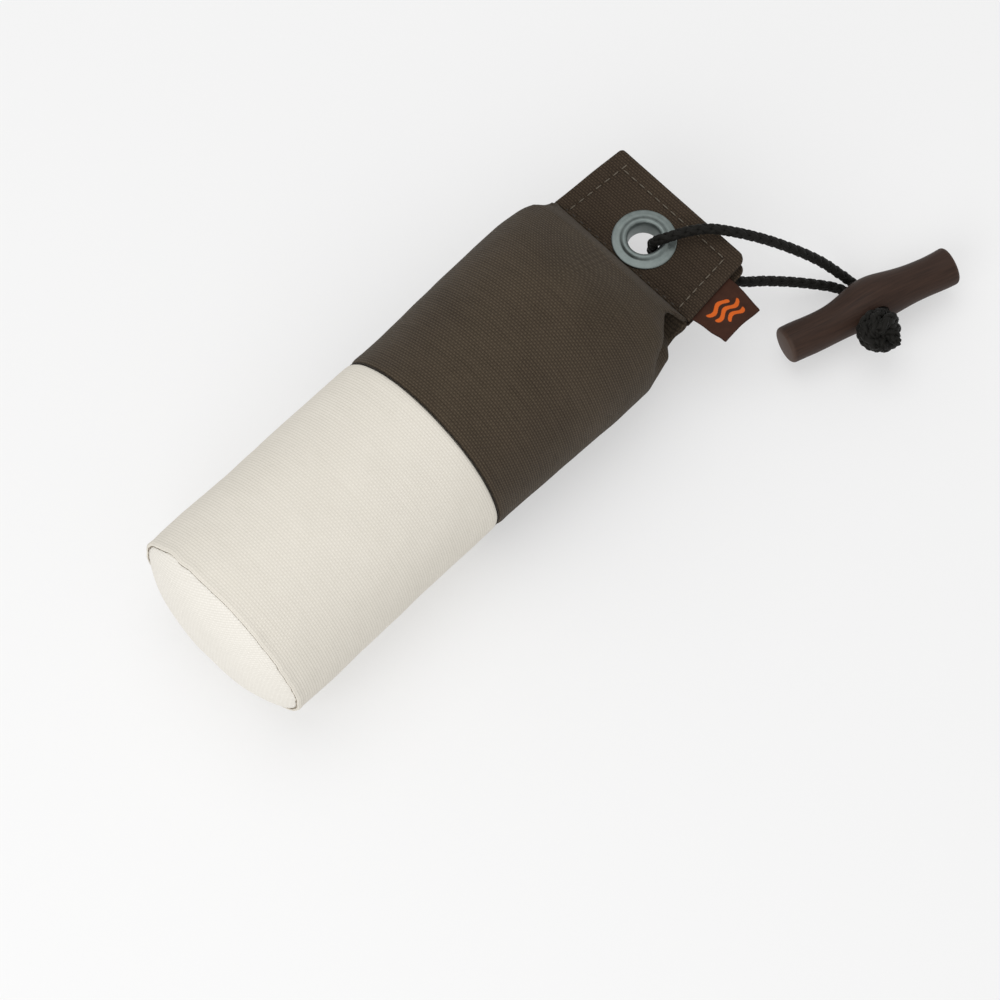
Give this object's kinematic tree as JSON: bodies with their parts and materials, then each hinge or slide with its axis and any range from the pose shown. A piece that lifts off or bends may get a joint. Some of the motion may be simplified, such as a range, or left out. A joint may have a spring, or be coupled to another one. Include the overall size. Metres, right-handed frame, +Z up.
{
  "type": "training bumper",
  "caption": "Stuffed canvas retrieving bumper: a two-colour tube with a round end and a flat sewn tab, an eyelet, and a knotted cord loop with a toggle.",
  "frame": {"origin": "centre of the flat strip of belly that the bumper rests on", "axes": "+X along the bumper from its round end to its tab, +Z up; the toggle lies on the -Y side"},
  "size_m": [0.2544, 0.1085, 0.0653],
  "materials": {
    "white_canvas": "off-white cotton canvas, matt, tight twill",
    "olive_canvas": "dark olive-brown cotton canvas, matt, tight twill",
    "seam_thread": "polyester sewing thread, a shade lighter than the olive canvas",
    "white_thread": "off-white sewing thread",
    "bag_cloth": "plain cotton lining",
    "filling_granules": "loose granules, packed firmly",
    "eyelet_steel": "zinc-plated pressed steel, satin, brighter on the rolled rim",
    "toggle_plastic": "dark brown moulded toggle, satin, like polished horn",
    "cord_braid": "black braided polyester cord",
    "label_ribbon": "brown woven ribbon"
  },
  "bodies": {
    "bumper": {"white_sleeve": "white_canvas", "end_disc": "white_canvas", "olive_sleeve": "olive_canvas", "tab_front_ply": "olive_canvas", "tab_back_ply": "olive_canvas", "left_gusset_ply": "olive_canvas", "right_gusset_ply": "olive_canvas", "tab_stitching_front": "seam_thread", "tab_stitching_back": "seam_thread", "border_seam_thread": "seam_thread", "base_seam_thread": "white_thread", "inner_bag": "bag_cloth", "filling": "filling_granules", "eyelet": "eyelet_steel", "eyelet_washer": "eyelet_steel", "side_label": "label_ribbon"},
    "loop": {"cord_upper_run": "cord_braid", "cord_lower_run": "cord_braid", "cord_knot": "cord_braid"},
    "toggle": {"toggle": "toggle_plastic"}
  },
  "joints": [
    {"name": "cord_swing", "type": "hinge", "parent": "bumper", "child": "loop", "pos_m": [0.1012, 0, 0.0325], "axis": [0, 0, 1], "range_deg": [-30, 120]},
    {"name": "toggle_spin", "type": "hinge", "parent": "loop", "child": "toggle", "pos_m": [0.1436, -0.0576, 0.011], "axis": [-0.238, -0.7785, 0.5807], "range_deg": [-180, 180]}
  ]
}
